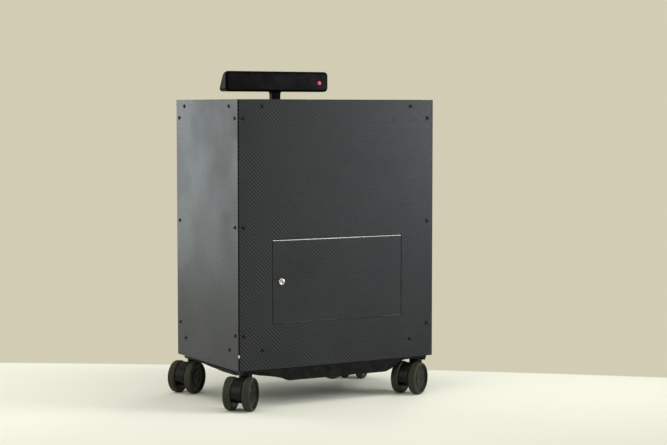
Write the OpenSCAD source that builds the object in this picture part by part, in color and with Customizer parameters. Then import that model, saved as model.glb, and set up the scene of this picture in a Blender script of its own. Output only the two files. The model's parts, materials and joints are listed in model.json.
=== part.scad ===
// Self balancing robot: a boxed body on four twin-wheel casters, with a drive unit that lowers
// two powered wheels between them, a lockable service door and a tilting sensor bar on top.
// Origin on the floor under the middle of the body. +X right, +Y to the rear, +Z up. The door faces -Y.

/* [Body] */
// Width over the side panels
body_w = 340; // [310:1:420]
// Depth over the front and rear panels
body_d = 212; // [200:1:260]
// Height of the panels
body_h = 400; // [330:1:480]
// Thickness of every panel
panel_t = 2.5; // [2:0.1:3]
// Side of the square frame profile
post_w = 15; // [15:1:20]
// Seam between neighbouring panels
seam = 0.2; // [0.1:0.05:0.5]
// Height of the lower rail's centre above the body's underside
rail_low_h = 29; // [24:1:34]

/* [Screws] */
// Head diameter of the panel screws
head_d = 5.7; // [5:0.1:6]
// Distance from a corner column to the nearest row screw, front and rear
front_row_in = 31; // [20:1:45]
// The same distance on the side panels
side_row_in = 19; // [15:1:30]
// Height of the lowest column screw above the body's underside
column_low_h = 52; // [44:1:60]
// Drop of the highest column screw below the top
column_top_drop = 28; // [24:1:40]

/* [Door] */
// Width of the door opening
door_w = 226; // [180:1:240]
// Height of the door opening
door_h = 126; // [100:1:150]
// Height of the opening's lower edge above the body's underside
door_low_h = 66.5; // [66:0.5:90]
// Gap round the door
door_gap = 1; // [0.9:0.1:1.5]
// Flange diameter of the lock
lock_d = 10; // [9.5:0.5:14]
// Distance from the opening's free edge to the lock
lock_in = 15.7; // [14:0.1:24]
// Distance from the door's hinged edge to the hinge pin
hinge_in = 14; // [12:0.5:18]

/* [Casters] */
// Diameter of a caster wheel
caster_wheel_d = 50; // [50:1:60]
// Width of a caster tyre
caster_tyre_w = 12.5; // [11:0.5:16]
// Distance from the swivel axis back to the wheel axle
caster_trail = 22; // [18:0.5:26]
// Height of the wheel tops below the body's underside
caster_neck_h = 8; // [8:0.5:12]
// Distance from the side panel's outer face to the swivel axis
caster_in_x = 20; // [18:0.5:26]
// Distance from the front panel's outer face to the swivel axis
caster_in_y = 16; // [15:0.5:24]

/* [Belly pan] */
// Depth of the pan below the body's underside
pan_h = 20; // [18:0.5:24]
// Thickness of the pan's rim
pan_rim_t = 3.5; // [3:0.5:5]
// Wall of the pan
pan_t = 2.5; // [2:0.1:3]

/* [Drive] */
// Distance between the two drive wheels' middles
drive_track = 204; // [190:1:210]
// Diameter of a drive wheel
drive_wheel_d = 80; // [76:1:84]
// Width of a drive tyre
drive_tyre_w = 15; // [12:0.5:16]
// Clearance under a raised drive wheel
drive_clear = 34; // [30:0.5:36]
// Travel of the drive unit
drive_travel = 36; // [30:0.5:38]

/* [Sensor bar] */
// Length of the bar
bar_w = 186; // [150:1:200]
// Height of the bar
bar_h = 32.5; // [27:0.5:36]
// Depth of the bar along its underside
bar_d = 29; // [27:0.5:34]
// Depth of the bar along its top edge
bar_top_d = 10.5; // [9:0.5:14]
// Height of the bar's underside above the top panel
bar_lift = 13.5; // [12:0.5:24]
// Distance from the rear panel's outer face forward to the bar's front face
bar_front_in = 19; // [12:1:60]

/* [Hidden] */
$fn = 48;
cut = 1;
touch = 0.02;
run = 0.05;
clear = 0.3;

ride_h = caster_wheel_d + caster_neck_h;
top_z = ride_h + body_h;
front_y = -body_d / 2;
rear_y = body_d / 2;
inner_w = body_w - 2 * panel_t;
inner_d = body_d - 2 * panel_t;
post_x = inner_w / 2 - post_w / 2;
post_y = inner_d / 2 - post_w / 2;
rail_top_z = top_z - panel_t - post_w / 2;
rail_low_z = ride_h + rail_low_h;
base_t = 4;

shank_r = 1.5;
shank_hole_r = 1.7;
shank_l = panel_t + 5;
flush_r = 2.8;
flush_h = 1.3;
head_h = 1.6;
slot_w = 3.4;
slot_deep = 5.2;
row_x = post_x - front_row_in;
row_y = post_y - side_row_in;
column_top_z = top_z - column_top_drop;
column_low_z = ride_h + column_low_h;
column_z = [column_low_z, (column_low_z + column_top_z) / 2, column_top_z];
row_z = [rail_low_z, rail_top_z];
front_points = concat([for (s = [-1, 1], z = row_z) [s * row_x, z]],
    [for (s = [-1, 1], z = column_z) [s * post_x, z]]);
side_points = concat([for (s = [-1, 1], z = row_z) [s * row_y, z]],
    [for (s = [-1, 1], z = column_z) [s * post_y, z]]);

door_z = ride_h + door_low_h + door_h / 2;
leaf_w = door_w - 2 * door_gap;
leaf_h = door_h - 2 * door_gap;
door_back_y = front_y + panel_t;
lock_x = -door_w / 2 + lock_in;
lock_barrel_r = 4.5;
lock_plug_r = 2.8;
lock_barrel_l = 4;
lock_nut_t = 3;
lock_cam_l = lock_in + 8;
pin_r = 1;
knuckle_r = 1.9;
leaf_t = 1.5;
pin_x = leaf_w / 2 - hinge_in;
pin_y = door_back_y + knuckle_r + clear;
hinge_h = 24;
hinge_mid_h = 10;
hinge_z = [door_z - door_h / 2 + 26, door_z + door_h / 2 - 26];
neck_reach = hinge_in + 3.5;

shelf_rail_z = ride_h + 54.5;
shelf_z = shelf_rail_z + post_w / 2;
shelf_t = 2.5;

tyre_r = caster_wheel_d / 2;
rim_r = tyre_r - 3.5;
tyre_round = 3;
core_t = 16;
wheel_in = core_t / 2 + 0.8;
axle_drop = caster_neck_h + tyre_r;
axle_r = 3;
stem_r = 4;
collar_r = 10.5;
collar_t = 2;
neck_r = 10;
neck_top = -pan_rim_t - collar_t - clear;
neck_low = -13.5;
stem_low = -26;
fender_r = tyre_r - 1.4;
fender_floor = -axle_drop - 15;
caster_x = body_w / 2 - caster_in_x;
caster_y = body_d / 2 - caster_in_y;
// Swivel place signs and resting directions, in degrees from +X.
CASTERS = [[-1, -1, 224], [1, -1, 211], [-1, 1, 214], [1, 1, 222]];

pan_in = 1;
pan_end_in = 10;
pan_end_w = 7;
bowl_r0 = 31;
bowl_r1 = 69.5;
bowl_steps = 12;
pan_slope_x = body_w / 2 - 37;
pan_end_z = -8.8;
pan_end_r = 200;

wheel_r = drive_wheel_d / 2;
hub_r = wheel_r - 12;
hub_w = drive_tyre_w - 1;
drive_x = drive_track / 2;
drive_z = drive_clear + wheel_r;
bracket_t = 6;
bracket_x = drive_x - drive_tyre_w / 2 - 0.5;
drive_axle_r = 4;
axle_head_t = 3;
axle_nut_t = 6;
well_in_x = bracket_x - bracket_t - axle_nut_t - 2;
well_out_x = drive_x + hub_w / 2 + axle_head_t + 4;
well_y = wheel_r + 4;
plate_z = ride_h + base_t + drive_travel + 2;
plate_t = 4;
plate_front_y = -25;
plate_rear_y = 35;
rod_r = 4;
rod_x = 50;
rod_y = 5;
bush_r = 7;
bush_l = 12;
screw_y = 20;
lead_r = 4;
nut_r = 7;
bridge_z = ride_h + 56;
bridge_t = 4;
motor_r = 12.5;
motor_l = 34;

roller_r = 12;
roller_crown = 3.5;
roller_l = 26;
roller_pin_r = 2;
roller_y = front_y + pan_in + pan_t + 1 + roller_r;
roller_z = ride_h - pan_h - 6.4 + roller_r;
cheek_t = 3;

bar_z = top_z + bar_lift;
bar_y = rear_y - bar_front_in;
bar_wall = 2.5;
window_t = 1.2;
tilt_y = bar_y + 11;
tilt_z = bar_z + 6;
tilt_pin_r = 1.5;
knob_r = 5;
neck_w = 16;
neck_head_w = 23;
neck_flare_h = 6;
neck_t = 8;
foot_t = 1.5;
foot_w = 100;
foot_d = 20;
recess_d = 16;
lamp_x = 76;
lamp_z = bar_z + 14.2;
lamp_r = 4;
lens_x = [-52, -6, 40];
lens_r = 5;

battery = [128, 66, 72];
computer = [126, 66, 40];
board = [100, 60, 1.6];

// ---- helpers ----

// Box centred in X and Y, standing on z.
module slab(w, d, h, z) {
    translate([-w / 2, -d / 2, z]) cube([w, d, h]);
}

// Put children on the outside of a panel, their +Z pointing out of it.
module on_front(points) {
    for (p = points) translate([p[0], front_y, p[1]]) rotate([90, 0, 0]) children();
}

module on_rear(points) {
    for (p = points) translate([p[0], rear_y, p[1]]) rotate([-90, 0, 0]) children();
}

module on_side(side, points) {
    for (p = points) translate([side * body_w / 2, p[0], p[1]]) rotate([0, side * 90, 0]) children();
}

module at_posts() {
    for (sx = [-1, 1], sy = [-1, 1]) translate([sx * post_x, sy * post_y, 0]) children();
}

module screw_hole() {
    translate([0, 0, -panel_t - cut]) cylinder(r = shank_hole_r, h = panel_t + 2 * cut, $fn = 24);
}

// Button-head screw, its head resting on z = 0 and its shank below.
module panel_screw() {
    difference() {
        union() {
            cylinder(d1 = head_d, d2 = head_d - 2, h = head_h, $fn = 32);
            translate([0, 0, -shank_l]) cylinder(r = shank_r, h = shank_l + 0.5, $fn = 24);
        }
        translate([0, 0, head_h - 1]) cylinder(r = 1.15, h = 1 + cut, $fn = 6);
    }
}

// Countersunk screw, its flat head flush with z = 0.
module flush_screw() {
    difference() {
        union() {
            translate([0, 0, -flush_h]) cylinder(r1 = shank_r, r2 = flush_r, h = flush_h, $fn = 32);
            translate([0, 0, -shank_l]) cylinder(r = shank_r, h = shank_l - flush_h, $fn = 32);
        }
        translate([0, 0, -1]) cylinder(r = 1, h = 1 + cut, $fn = 6);
    }
}

module flush_hole() {
    screw_hole();
    translate([0, 0, -flush_h])
        cylinder(r1 = shank_r + touch, r2 = flush_r + touch, h = flush_h, $fn = 32);
    translate([0, 0, -touch]) cylinder(r = flush_r + touch, h = cut, $fn = 32);
}

// Slotted square profile of the frame.
module profile() {
    difference() {
        square(post_w, center = true);
        for (a = [0:90:270]) rotate(a) translate([post_w / 2 - slot_deep, -slot_w / 2])
            square([slot_deep + cut, slot_w]);
    }
}

// Rounded corner of a tyre: arc from angle a to b about a centre.
function arc(cx, cy, r, a, b, n) = [for (i = [0:n]) let (t = a + (b - a) * i / n)
    [cx + r * cos(t), cy + r * sin(t)]];

// ---- frame and panels ----

module base_plate() {
    color("silver") difference() {
        slab(inner_w - 2 * seam, inner_d - 2 * seam, base_t, ride_h);
        for (sx = [-1, 1], sy = [-1, 1]) translate([sx * caster_x, sy * caster_y, ride_h - cut])
            cylinder(r = stem_r + touch, h = base_t + 2 * cut);
        for (s = [-1, 1]) translate([s * rod_x, rod_y, ride_h - cut])
            cylinder(r = rod_r + touch, h = base_t + 2 * cut);
        for (s = [-1, 1]) translate([s * (well_in_x + well_out_x) / 2, 0, 0])
            slab(well_out_x - well_in_x, 2 * well_y, base_t + 2 * cut, ride_h - cut);
    }
}

module corner_posts() {
    post_l = body_h - base_t - panel_t;
    color("silver") at_posts() difference() {
        translate([0, 0, ride_h + base_t]) linear_extrude(height = post_l) profile();
        translate([0, 0, top_z - panel_t - 10]) cylinder(r = shank_r + touch, h = 10 + cut, $fn = 24);
    }
}

module frame_rails() {
    long_x = 2 * post_x - post_w;
    long_y = 2 * post_y - post_w;
    color("silver") {
        for (s = [-1, 1], z = row_z) translate([-long_x / 2, s * post_y, z]) rotate([90, 0, 90])
            linear_extrude(height = long_x) profile();
        for (s = [-1, 1], z = concat(row_z, [shelf_rail_z])) translate([s * post_x, long_y / 2, z])
            rotate([90, 0, 0]) linear_extrude(height = long_y) profile();
    }
}

module front_panel() {
    color([0.2, 0.2, 0.21]) difference() {
        translate([0, front_y + panel_t / 2, 0])
            slab(inner_w - 2 * seam, panel_t, body_h, ride_h);
        translate([0, front_y + panel_t / 2, 0])
            slab(door_w, panel_t + 2 * cut, door_h, door_z - door_h / 2);
        on_front(front_points) screw_hole();
    }
}

module rear_panel() {
    color([0.2, 0.2, 0.21]) difference() {
        translate([0, rear_y - panel_t / 2, 0]) slab(inner_w - 2 * seam, panel_t, body_h, ride_h);
        on_rear(front_points) screw_hole();
    }
}

module side_panel(side) {
    color([0.22, 0.22, 0.23]) difference() {
        translate([side * (body_w - panel_t) / 2, 0, 0]) slab(panel_t, body_d, body_h, ride_h);
        on_side(side, side_points) screw_hole();
    }
}

module left_panel() { side_panel(-1); }

module right_panel() { side_panel(1); }

module top_panel() {
    color([0.2, 0.2, 0.21]) difference() {
        slab(inner_w - 2 * seam, inner_d - 2 * seam, panel_t, top_z - panel_t);
        at_posts() translate([0, 0, top_z]) flush_hole();
        sensor_foot_places() translate([0, 0, top_z]) screw_hole();
    }
}

// Every identical panel screw: front, rear and sides.
module panel_screws() {
    color([0.08, 0.08, 0.08]) {
        on_front(front_points) panel_screw();
        on_rear(front_points) panel_screw();
        for (s = [-1, 1]) on_side(s, side_points) panel_screw();
    }
}

// Countersunk screws of the top panel and of the sensor bar's foot.
module top_screws() {
    color([0.08, 0.08, 0.08]) {
        at_posts() translate([0, 0, top_z]) flush_screw();
        sensor_foot_places() translate([0, 0, top_z + foot_t]) flush_screw();
    }
}

// ---- belly pan ----

// Space round one caster: a bowl whose wall falls from the rim to the pan's floor.
module caster_bowl() {
    curve = [for (i = [0:bowl_steps]) let (t = i / bowl_steps)
        [bowl_r0 + (bowl_r1 - bowl_r0) * t,
         -pan_rim_t - (pan_h - pan_rim_t) * (1 - cos(180 * t)) / 2]];
    rotate_extrude($fn = 96) polygon(concat([[0, -pan_rim_t]], curve,
        [[bowl_r1, -pan_h - cut], [0, -pan_h - cut]]));
}

// Raised, gently arched end of the pan under one side panel.
module pan_end_cut(side) {
    w = body_w / 2 - pan_end_in;
    slope_top_x = w - pan_end_w;
    mirror([side < 0 ? 1 : 0, 0, 0]) {
        translate([0, body_d / 2, 0]) rotate([90, 0, 0]) linear_extrude(height = body_d)
            polygon([[pan_slope_x, -pan_h], [slope_top_x, pan_end_z], [w + cut, pan_end_z],
                [w + cut, -pan_h - cut], [pan_slope_x, -pan_h - cut]]);
        difference() {
            translate([slope_top_x, -body_d / 2, -pan_h - cut])
                cube([pan_end_w + cut, body_d, pan_h + cut - pan_rim_t]);
            translate([slope_top_x - cut, 0, pan_end_z + pan_end_r]) rotate([0, 90, 0])
                cylinder(r = pan_end_r, h = pan_end_w + 4 * cut, $fn = 96);
        }
    }
}

module belly_pan() {
    color([0.12, 0.12, 0.13]) difference() {
        union() {
            translate([0, 0, ride_h]) difference() {
                slab(body_w - 2 * pan_end_in, body_d - 2 * pan_in, pan_h, -pan_h);
                pan_hollow();
                for (sx = [-1, 1], sy = [-1, 1]) translate([sx * caster_x, sy * caster_y, 0])
                    caster_bowl();
                for (s = [-1, 1]) pan_end_cut(s);
            }
            for (s = [-1, 1]) translate([s * (roller_l / 2 + 1 + cheek_t / 2), 0, ride_h])
                roller_cheek();
        }
        for (sx = [-1, 1], sy = [-1, 1]) translate([sx * caster_x, sy * caster_y, 0])
            slab_hole(stem_r + 0.2);
        for (s = [-1, 1]) translate([s * (well_in_x + well_out_x) / 2, 0, 0])
            slab(well_out_x - well_in_x, 2 * well_y, pan_h + 2 * cut, ride_h - pan_h - cut);
        translate([0, roller_y, 0])
            slab(roller_l + 2, 2 * roller_r + 2, pan_t + 2 * cut, ride_h - pan_h - cut);
        translate([-roller_l, roller_y, roller_z]) rotate([0, 90, 0])
            cylinder(r = roller_pin_r + touch, h = 2 * roller_l);
    }
}

module slab_hole(r) {
    translate([0, 0, ride_h - pan_h]) cylinder(r = r, h = pan_h + cut);
}

module roller_cheek() {
    translate([-cheek_t / 2, roller_y - roller_r, -pan_h + pan_t - touch])
        cube([cheek_t, 2 * roller_r, roller_z - ride_h + pan_h - pan_t + 5]);
}

// Inside of the pan, kept clear of the bowls' walls.
module pan_hollow() {
    reach = bowl_r1 + pan_t - 1;
    difference() {
        slab(2 * (pan_slope_x - pan_t), body_d - 2 * (pan_in + pan_t), pan_h - pan_t + cut,
            -pan_h + pan_t);
        for (sx = [-1, 1], sy = [-1, 1])
            translate([sx * caster_x, sy * caster_y, -pan_h]) cylinder(r = reach, h = pan_h + 2 * cut);
    }
}

// ---- service door ----

module door_leaf() {
    color([0.2, 0.2, 0.21]) difference() {
        translate([0, front_y + panel_t / 2, 0]) slab(leaf_w, panel_t, leaf_h, door_z - leaf_h / 2);
        translate([lock_x, door_back_y + cut, door_z]) rotate([90, 0, 0])
            cylinder(r = lock_barrel_r + touch, h = panel_t + 2 * cut);
    }
}

// Fixed half of each hinge: a foot on the front panel, a goose-neck arm and the middle knuckle.
module hinge_frame_arms() {
    foot_x = door_w / 2 + 4;
    color("silver") for (z = hinge_z) difference() {
        translate([0, 0, z - hinge_mid_h / 2]) linear_extrude(height = hinge_mid_h) {
            translate([pin_x, pin_y]) circle(r = knuckle_r, $fn = 32);
            translate([pin_x - leaf_t / 2, pin_y]) square([leaf_t, neck_reach]);
            translate([pin_x - leaf_t / 2, pin_y + neck_reach - leaf_t])
                square([foot_x - pin_x + leaf_t / 2, leaf_t]);
            translate([foot_x - leaf_t, door_back_y]) square([leaf_t, neck_reach + knuckle_r + clear]);
            translate([foot_x - leaf_t, door_back_y]) square([16, leaf_t]);
        }
        translate([pin_x, pin_y, z - hinge_h]) cylinder(r = pin_r + run, h = 2 * hinge_h, $fn = 32);
    }
}

// Moving half of each hinge: a plate on the door's back and two outer knuckles.
module hinge_door_leaves() {
    end_h = (hinge_h - hinge_mid_h) / 2 - 0.3;
    color("silver") for (z = hinge_z, s = [-1, 1]) difference() {
        translate([0, 0, z + s * (hinge_h - end_h) / 2 - end_h / 2]) linear_extrude(height = end_h) {
            translate([pin_x, pin_y]) circle(r = knuckle_r, $fn = 32);
            translate([pin_x - 18, door_back_y]) square([18, leaf_t]);
        }
        translate([pin_x, pin_y, z - hinge_h]) cylinder(r = pin_r + touch, h = 2 * hinge_h, $fn = 32);
    }
}

module hinge_pins() {
    color("dimgray") for (z = hinge_z) translate([pin_x, pin_y, z - hinge_h / 2])
        cylinder(r = pin_r, h = hinge_h, $fn = 32);
}

// Fixed part of the cam lock: front flange, barrel through the door and the nut behind it.
module lock_barrel() {
    color([0.8, 0.8, 0.8]) translate([lock_x, front_y, door_z]) rotate([-90, 0, 0]) difference() {
        union() {
            translate([0, 0, -1.2]) cylinder(d1 = lock_d - 1, d2 = lock_d, h = 1.2);
            cylinder(r = lock_barrel_r, h = panel_t + lock_barrel_l);
            translate([0, 0, panel_t]) cylinder(r = 7.5, h = lock_nut_t, $fn = 6);
        }
        translate([0, 0, -2]) cylinder(r = lock_plug_r + run, h = panel_t + lock_barrel_l + 4);
    }
}

// Turning part of the lock: keyed plug and the cam that hangs down when it is open.
module lock_cam() {
    cam_y = panel_t + lock_barrel_l + clear;
    color([0.75, 0.75, 0.75]) translate([lock_x, front_y, door_z]) rotate([-90, 0, 0]) {
        difference() {
            translate([0, 0, -1.4]) cylinder(r = lock_plug_r, h = cam_y + 1.4 + 3.5);
            translate([-0.5, -1.9, -1.4 - cut]) cube([1, 3.8, 5 + cut]);
        }
        difference() {
            union() {
                translate([0, 0, cam_y]) cylinder(r = 5.5, h = 2);
                translate([-4, 0, cam_y]) cube([8, lock_cam_l, 2]);
            }
            translate([0, 0, cam_y - cut]) cylinder(r = lock_plug_r - 0.5, h = 4);
        }
    }
}

// ---- equipment inside ----

module equipment_shelf() {
    shelf_w = 2 * (post_x + post_w / 2) - 1;
    shelf_d = 2 * (post_y - post_w / 2) - 0.6;
    color("silver") difference() {
        slab(shelf_w, shelf_d, shelf_t, shelf_z);
        translate([0, screw_y, shelf_z - cut]) cylinder(r = motor_r + 1.5, h = shelf_t + 2 * cut);
    }
}

module on_shelf(x) {
    translate([x, post_y - post_w / 2 - battery[1] / 2 - 3, shelf_z + shelf_t]) children();
}

module battery_pack() {
    color([0.15, 0.2, 0.4]) on_shelf(-battery[0] / 2 - 17) difference() {
        slab(battery[0], battery[1], battery[2], 0);
        for (s = [-1, 1]) translate([s * 34, 0, battery[2] - 1.5]) slab(18, battery[1] + 2, 3, 0);
    }
}

module computer_box() {
    color([0.3, 0.3, 0.32]) on_shelf(computer[0] / 2 + 17) difference() {
        slab(computer[0], computer[1], computer[2], 0);
        for (i = [-6:6]) translate([i * 9, 0, computer[2] - 6]) slab(4, computer[1] + 2, 8, 0);
    }
}

module control_board() {
    post_h = 10;
    color([0.05, 0.35, 0.15]) on_shelf(computer[0] / 2 + 17) translate([0, 0, computer[2]]) {
        translate([0, 0, post_h]) slab(board[0], board[1], board[2], 0);
        for (sx = [-45, 45], sy = [-25, 25]) translate([sx, sy, 0])
            cylinder(r = 2.4, h = post_h + touch, $fn = 24);
        translate([-20, 5, post_h + board[2] - touch]) slab(22, 22, 8, 0);
        translate([25, -12, post_h + board[2] - touch]) slab(30, 12, 5, 0);
    }
}

// ---- drive unit ----

module guide_rods() {
    color("gainsboro") for (s = [-1, 1]) translate([s * rod_x, rod_y, ride_h])
        cylinder(r = rod_r, h = bridge_z + bridge_t - ride_h);
}

module lift_bridge() {
    color("silver") difference() {
        translate([-rod_x - 12, rod_y - 12, bridge_z])
            cube([2 * rod_x + 24, screw_y - rod_y + 27, bridge_t]);
        for (s = [-1, 1]) translate([s * rod_x, rod_y, bridge_z - cut])
            cylinder(r = rod_r + touch, h = bridge_t + 2 * cut);
        translate([0, screw_y, bridge_z - cut]) cylinder(r = lead_r + run, h = bridge_t + 2 * cut);
    }
}

// Upright gear motor standing on the bridge, its shaft socket open below.
module lift_motor() {
    color([0.55, 0.55, 0.57]) translate([0, screw_y, bridge_z + bridge_t]) difference() {
        union() {
            cylinder(r = motor_r, h = motor_l * 0.45);
            translate([0, 0, motor_l * 0.45 - touch]) cylinder(r = motor_r - 1.5, h = motor_l * 0.55);
        }
        translate([0, 0, -cut]) cylinder(r = lead_r + run, h = 8 + cut);
    }
}

module lead_screw() {
    color("gainsboro") translate([0, screw_y, ride_h + base_t + 1])
        cylinder(r = lead_r, h = bridge_z + bridge_t + 7 - ride_h - base_t - 1);
}

module lift_carriage() {
    plate_w = 2 * bracket_x;
    color([0.6, 0.6, 0.62]) difference() {
        union() {
            translate([-plate_w / 2, plate_front_y, plate_z])
                cube([plate_w, plate_rear_y - plate_front_y, plate_t]);
            for (s = [-1, 1]) translate([s * (bracket_x - bracket_t / 2), 0, 0])
                slab(bracket_t, 30, plate_z - drive_z + 10 + touch, drive_z - 10);
        }
        for (s = [-1, 1]) translate([s * rod_x, rod_y, plate_z - cut])
            cylinder(r = bush_r + touch, h = plate_t + 2 * cut);
        translate([0, screw_y, plate_z - cut]) cylinder(r = nut_r + touch, h = plate_t + 2 * cut);
        translate([-bracket_x - cut, 0, drive_z]) rotate([0, 90, 0])
            cylinder(r = drive_axle_r + touch, h = plate_w + 2 * cut);
    }
}

module carriage_bushes() {
    color("goldenrod") for (s = [-1, 1]) translate([s * rod_x, rod_y, plate_z]) difference() {
        union() {
            cylinder(r = bush_r, h = bush_l);
            translate([0, 0, plate_t]) cylinder(r = bush_r + 3, h = 3);
        }
        translate([0, 0, -cut]) cylinder(r = rod_r + run, h = bush_l + 2 * cut);
    }
}

module carriage_nut() {
    color("goldenrod") translate([0, screw_y, plate_z]) difference() {
        union() {
            cylinder(r = nut_r, h = plate_t + 8);
            translate([0, 0, plate_t]) cylinder(r = nut_r + 4, h = 3.5);
        }
        translate([0, 0, -cut]) cylinder(r = lead_r + run, h = plate_t + 8 + 2 * cut);
    }
}

module drive_axles() {
    inner_x = bracket_x - bracket_t - axle_nut_t;
    outer_x = drive_x + hub_w / 2 + 0.5;
    color("gainsboro") for (s = [-1, 1]) translate([s * inner_x, 0, drive_z]) rotate([0, s * 90, 0]) {
        cylinder(r = drive_axle_r, h = outer_x - inner_x + touch);
        translate([0, 0, outer_x - inner_x]) cylinder(r = 7, h = axle_head_t, $fn = 6);
        cylinder(r = 7, h = axle_nut_t, $fn = 6);
    }
}

// Hub motor's outer shell; dished faces on both sides.
module drive_hub(side) {
    dish = 1.5;
    half = hub_w / 2;
    color([0.5, 0.5, 0.52]) translate([side * drive_x, 0, drive_z]) rotate([0, 90, 0])
        rotate_extrude($fn = 96) polygon([[drive_axle_r + run, -half], [10, -half],
            [12, dish - half], [hub_r - 4, dish - half], [hub_r - 2, -half], [hub_r, -half],
            [hub_r, half], [hub_r - 2, half], [hub_r - 4, half - dish], [12, half - dish],
            [10, half], [drive_axle_r + run, half]]);
}

module drive_tyre(side) {
    half = drive_tyre_w / 2;
    grooves = 30;
    color([0.1, 0.1, 0.1]) translate([side * drive_x, 0, drive_z]) rotate([0, 90, 0]) difference() {
        rotate_extrude($fn = 96) polygon(concat([[hub_r + touch, -half]],
            arc(wheel_r - 3, 3 - half, 3, -90, 0, 6), arc(wheel_r - 3, half - 3, 3, 0, 90, 6),
            [[hub_r + touch, half]]));
        for (i = [0:grooves - 1]) rotate(i * 360 / grooves) translate([wheel_r - 2, -1, -half - cut])
            cube([3, 2, drive_tyre_w + 2 * cut]);
    }
}

module drive_hub_left() { drive_hub(-1); }

module drive_hub_right() { drive_hub(1); }

module drive_tyre_left() { drive_tyre(-1); }

module drive_tyre_right() { drive_tyre(1); }

// ---- guard roller under the front skirt ----

// Barrel-shaped roller with ring grooves.
module guard_roller() {
    half = roller_l / 2;
    color([0.1, 0.1, 0.1]) translate([0, roller_y, roller_z]) rotate([0, 90, 0]) difference() {
        rotate_extrude($fn = 64) polygon(concat([[roller_pin_r + run, -half]],
            [for (i = [-8:8]) [roller_r - roller_crown * i * i / 64, half * i / 8]],
            [[roller_pin_r + run, half]]));
        for (i = [-3:3]) translate([0, 0, i * 3.4 - 0.5]) difference() {
            cylinder(r = roller_r + cut, h = 1);
            translate([0, 0, -cut]) cylinder(r = roller_r - 1 - roller_crown * abs(i) / 4, h = 1 + 2 * cut);
        }
    }
}

module guard_roller_pin() {
    pin_l = roller_l + 2 + 2 * cheek_t;
    color("gainsboro") translate([-pin_l / 2, roller_y, roller_z]) rotate([0, 90, 0])
        cylinder(r = roller_pin_r, h = pin_l);
}

// ---- sensor bar ----

module sensor_foot_places() {
    for (s = [-1, 1]) translate([s * (foot_w / 2 - 8), post_y, 0]) children();
}

module sensor_foot() {
    color([0.1, 0.1, 0.1]) difference() {
        translate([0, post_y, 0]) slab(foot_w, foot_d, foot_t, top_z);
        sensor_foot_places() translate([0, 0, top_z + foot_t]) flush_hole();
    }
}

// Upright that widens towards the bar and ends in the tilt knuckle.
module sensor_neck() {
    flare = (neck_head_w - neck_w) / 2;
    curve = [for (i = [0:8]) let (t = i * 90 / 8)
        [neck_w / 2 + flare * (1 - cos(t)), bar_z + 0.6 - neck_flare_h * (1 - sin(t))]];
    color([0.1, 0.1, 0.1]) difference() {
        union() {
            translate([0, tilt_y + neck_t / 2, 0]) rotate([90, 0, 0]) linear_extrude(height = neck_t)
                polygon(concat(curve, [for (i = [8:-1:0]) [-curve[i][0], curve[i][1]]]));
            translate([0, tilt_y, 0]) slab(neck_w, neck_t, tilt_z - top_z - foot_t, top_z + foot_t);
            translate([-neck_w / 2, tilt_y, tilt_z]) rotate([0, 90, 0]) cylinder(r = knob_r, h = neck_w);
        }
        translate([-neck_w, tilt_y, tilt_z]) rotate([0, 90, 0])
            cylinder(r = tilt_pin_r + run, h = 2 * neck_w);
    }
}

module sensor_tilt_pin() {
    pin_l = neck_head_w + 6;
    color("gainsboro") translate([-pin_l / 2, tilt_y, tilt_z]) rotate([0, 90, 0])
        cylinder(r = tilt_pin_r, h = pin_l, $fn = 32);
}

// Rounded rectangle seen from the front.
module bar_face(w, h, r) {
    for (s = [-1, 1], t = [-1, 1]) translate([s * (w / 2 - r), t * (h / 2 - r)]) circle(r = r);
    square([w - 2 * r, h], center = true);
    square([w, h - 2 * r], center = true);
}

module bar_front_pocket(w, h, depth) {
    translate([0, bar_y + depth, bar_z + bar_h / 2]) rotate([90, 0, 0])
        linear_extrude(height = depth + cut) bar_face(w, h, 4);
}

module sensor_housing() {
    slope = (bar_d - bar_top_d) / bar_h;
    hollow_d = bar_top_d - bar_wall - window_t;
    color([0.1, 0.1, 0.1]) difference() {
        intersection() {
            translate([-bar_w / 2, bar_y, bar_z]) rotate([90, 0, 90]) linear_extrude(height = bar_w)
                polygon([[0, 0], [bar_d, 0], [bar_top_d, bar_h], [0, bar_h]]);
            translate([0, bar_y + bar_d + cut, bar_z + bar_h / 2]) rotate([90, 0, 0])
                linear_extrude(height = bar_d + 2 * cut) bar_face(bar_w, bar_h, 7);
        }
        bar_front_pocket(window_w(), window_h(), window_t);
        for (s = [-1, 1]) translate([s * (bar_w / 4 + 5), bar_y + window_t - touch, bar_z + bar_wall])
            translate([-(bar_w / 2 - 26) / 2, 0, 0]) cube([bar_w / 2 - 26, hollow_d, bar_h - 2 * bar_wall]);
        translate([0, tilt_y, 0]) slab(neck_head_w + 2, recess_d, tilt_z + knob_r + 1.5 - bar_z + cut, bar_z - cut);
        translate([-bar_w / 4, tilt_y, tilt_z]) rotate([0, 90, 0])
            cylinder(r = tilt_pin_r + touch, h = bar_w / 2, $fn = 32);
        translate([-6, bar_y - cut, bar_z + bar_h / 2]) rotate([-90, 0, 0])
            cylinder(r = lens_r + touch, h = hollow_d + cut);
    }
}

function window_w() = bar_w - 8;
function window_h() = bar_h - 7;

module sensor_window() {
    color([0.03, 0.03, 0.03]) difference() {
        translate([0, bar_y + window_t, bar_z + bar_h / 2]) rotate([90, 0, 0])
            linear_extrude(height = window_t) bar_face(window_w() - 0.4, window_h() - 0.4, 3.8);
        translate([lamp_x, bar_y + window_t + cut, lamp_z]) rotate([90, 0, 0])
            cylinder(r = lamp_r + touch, h = window_t + 2 * cut);
    }
}

module sensor_lenses() {
    lens_l = 4.5;
    color([0.05, 0.05, 0.08]) for (x = lens_x) translate([x, bar_y + window_t, bar_z + bar_h / 2])
        rotate([-90, 0, 0]) difference() {
            cylinder(r = lens_r, h = lens_l);
            translate([0, 0, -cut]) cylinder(r1 = 3.5, r2 = 2.5, h = 1.2 + cut);
        }
}

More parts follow.
